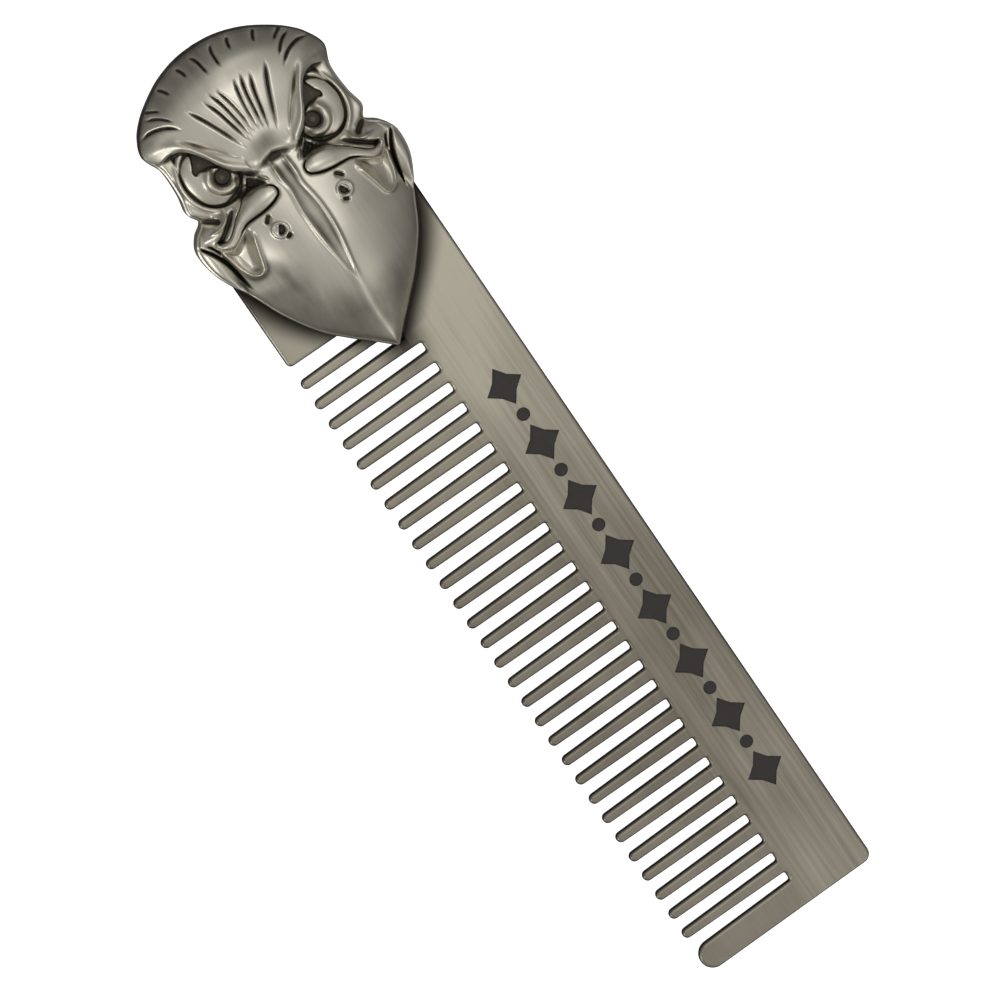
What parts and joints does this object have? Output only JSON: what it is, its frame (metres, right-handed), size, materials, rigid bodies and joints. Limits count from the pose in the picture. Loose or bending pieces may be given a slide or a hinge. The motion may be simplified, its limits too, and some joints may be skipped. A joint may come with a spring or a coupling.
{
  "type": "beard comb",
  "caption": "Flat steel beard comb with tapered teeth, an engraved ornament filled with black enamel and a cast bird-of-prey head over one end.",
  "frame": {"origin": "Middle of the overall length and of the head's width, on the plate's flat back", "axes": "+X from the head to the far end, +Y from the teeth to the spine, +Z out of the decorated front"},
  "size_m": [0.1248, 0.027, 0.0088],
  "materials": {
    "plate_steel": "brushed along the comb, warm grey",
    "head_alloy": "antique nickel plate, brushed on the raised parts and dark in the recesses",
    "pin_steel": "satin",
    "black_enamel": "satin black",
    "epoxy": "cured, dull"
  },
  "bodies": {
    "root": {"comb_plate": "plate_steel", "head_casting": "head_alloy", "adhesive_bond": "epoxy", "drive_pin_1": "pin_steel", "drive_pin_2": "pin_steel", "enamel_lozenge_01": "black_enamel", "enamel_lozenge_02": "black_enamel", "enamel_lozenge_03": "black_enamel", "enamel_lozenge_04": "black_enamel", "enamel_lozenge_05": "black_enamel", "enamel_lozenge_06": "black_enamel", "enamel_lozenge_07": "black_enamel", "enamel_lozenge_08": "black_enamel", "enamel_dot_01": "black_enamel", "enamel_dot_02": "black_enamel", "enamel_dot_03": "black_enamel", "enamel_dot_04": "black_enamel", "enamel_dot_05": "black_enamel", "enamel_dot_06": "black_enamel", "enamel_dot_07": "black_enamel"}
  },
  "joints": []
}
